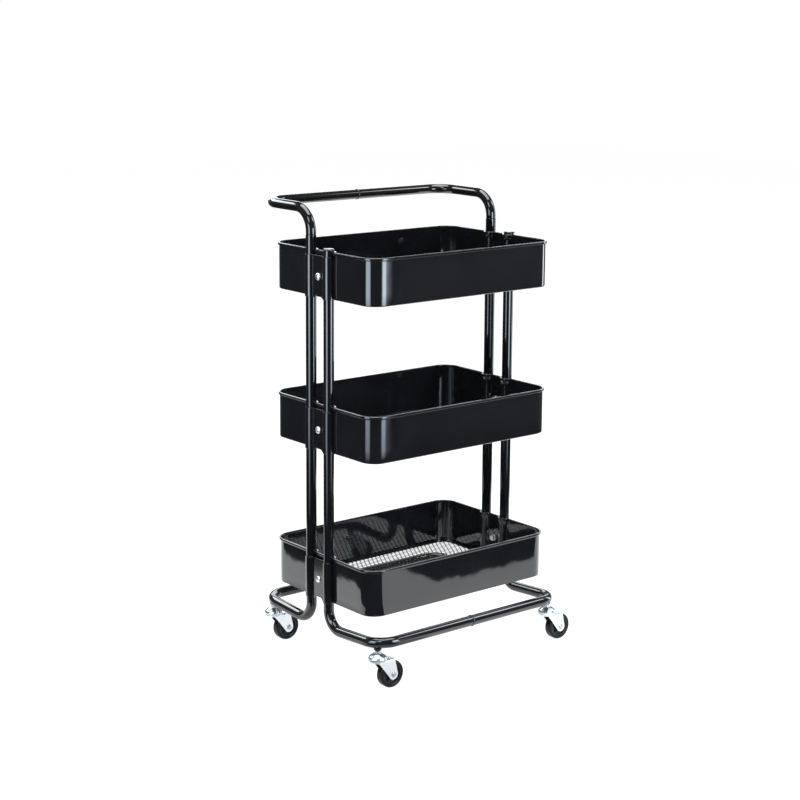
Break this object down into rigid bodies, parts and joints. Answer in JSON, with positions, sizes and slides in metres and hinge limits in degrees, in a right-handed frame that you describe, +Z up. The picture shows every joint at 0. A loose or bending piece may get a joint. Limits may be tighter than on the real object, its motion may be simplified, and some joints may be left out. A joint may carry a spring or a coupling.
{
  "type": "rolling utility cart",
  "caption": "Tiered rolling pantry cart: sheet-metal baskets with mesh floors on a bent-tube frame, with a push handle and swivel casters.",
  "frame": {"origin": "on the floor under the wheels, at the middle of the overall length and depth with all four casters trailing to +X, so the middle of the baskets is 16.9 mm to the -X side of it", "axes": "+X along the long side, towards the end the casters trail to at rest; +Y to the rear, where the handle bar is; +Z up"},
  "size_m": [0.481, 0.369, 0.849],
  "materials": {
    "tube_steel": "gloss black powder coat over steel tube",
    "basket_steel": "gloss black powder coat over steel sheet, light orange peel",
    "mesh_steel": "gloss black powder coat over expanded steel mesh",
    "bracket_steel": "gloss black powder coat over pressed steel",
    "black_steel": "black coated steel",
    "black_plastic": "moulded black plastic",
    "zinc_caster": "bright zinc plate on stamped steel",
    "zinc_fasteners": "bright zinc plate",
    "steel_balls": "bearing steel",
    "wheel_tread": "satin black tread",
    "wheel_centre": "moulded black plastic"
  },
  "bodies": {
    "cart": {"rear_frame_left": "tube_steel", "rear_frame_right": "tube_steel", "front_frame_left": "tube_steel", "front_frame_right": "tube_steel", "handle_left": "tube_steel", "handle_right": "tube_steel", "handle_joiner": "black_plastic", "base_joiner_front": "black_plastic", "base_joiner_rear": "black_plastic", "tube_end_caps": "black_plastic", "top_basket": "basket_steel", "middle_basket": "basket_steel", "bottom_basket": "basket_steel", "top_mesh_floor": "mesh_steel", "middle_mesh_floor": "mesh_steel", "bottom_mesh_floor": "mesh_steel", "top_bracket_left": "bracket_steel", "top_bracket_right": "bracket_steel", "middle_bracket_left": "bracket_steel", "middle_bracket_right": "bracket_steel", "bottom_bracket_left": "bracket_steel", "bottom_bracket_right": "bracket_steel", "bracket_bolts": "zinc_fasteners", "bracket_washers": "zinc_fasteners", "bracket_nuts": "zinc_fasteners", "caster_weld_nuts": "black_steel", "caster_fl_stem": "zinc_caster", "caster_fl_balls": "steel_balls", "caster_fr_stem": "zinc_caster", "caster_fr_balls": "steel_balls", "caster_rl_stem": "zinc_caster", "caster_rl_balls": "steel_balls", "caster_rr_stem": "zinc_caster", "caster_rr_balls": "steel_balls"},
    "swivel_fl": {"caster_fl_fork": "zinc_caster", "caster_fl_axle": "zinc_caster"},
    "wheel_fl": {"caster_fl_hub": "wheel_centre", "caster_fl_tyre": "wheel_tread"},
    "swivel_fr": {"caster_fr_fork": "zinc_caster", "caster_fr_axle": "zinc_caster"},
    "wheel_fr": {"caster_fr_hub": "wheel_centre", "caster_fr_tyre": "wheel_tread"},
    "swivel_rl": {"caster_rl_fork": "zinc_caster", "caster_rl_axle": "zinc_caster"},
    "wheel_rl": {"caster_rl_hub": "wheel_centre", "caster_rl_tyre": "wheel_tread"},
    "swivel_rr": {"caster_rr_fork": "zinc_caster", "caster_rr_axle": "zinc_caster"},
    "wheel_rr": {"caster_rr_hub": "wheel_centre", "caster_rr_tyre": "wheel_tread"}
  },
  "joints": [
    {"name": "swivel_fl_turn", "type": "hinge", "parent": "cart", "child": "swivel_fl", "pos_m": [-0.22137, -0.1594, 0.054], "axis": [0, 0, 1], "continuous": true},
    {"name": "wheel_fl_roll", "type": "hinge", "parent": "swivel_fl", "child": "wheel_fl", "pos_m": [-0.19337, -0.1594, 0.025], "axis": [0, 1, 0], "continuous": true},
    {"name": "swivel_fr_turn", "type": "hinge", "parent": "cart", "child": "swivel_fr", "pos_m": [0.18752, -0.1594, 0.054], "axis": [0, 0, 1], "continuous": true},
    {"name": "wheel_fr_roll", "type": "hinge", "parent": "swivel_fr", "child": "wheel_fr", "pos_m": [0.21552, -0.1594, 0.025], "axis": [0, 1, 0], "continuous": true},
    {"name": "swivel_rl_turn", "type": "hinge", "parent": "cart", "child": "swivel_rl", "pos_m": [-0.22137, 0.1594, 0.054], "axis": [0, 0, 1], "continuous": true},
    {"name": "wheel_rl_roll", "type": "hinge", "parent": "swivel_rl", "child": "wheel_rl", "pos_m": [-0.19337, 0.1594, 0.025], "axis": [0, 1, 0], "continuous": true},
    {"name": "swivel_rr_turn", "type": "hinge", "parent": "cart", "child": "swivel_rr", "pos_m": [0.18752, 0.1594, 0.054], "axis": [0, 0, 1], "continuous": true},
    {"name": "wheel_rr_roll", "type": "hinge", "parent": "swivel_rr", "child": "wheel_rr", "pos_m": [0.21552, 0.1594, 0.025], "axis": [0, 1, 0], "continuous": true}
  ]
}
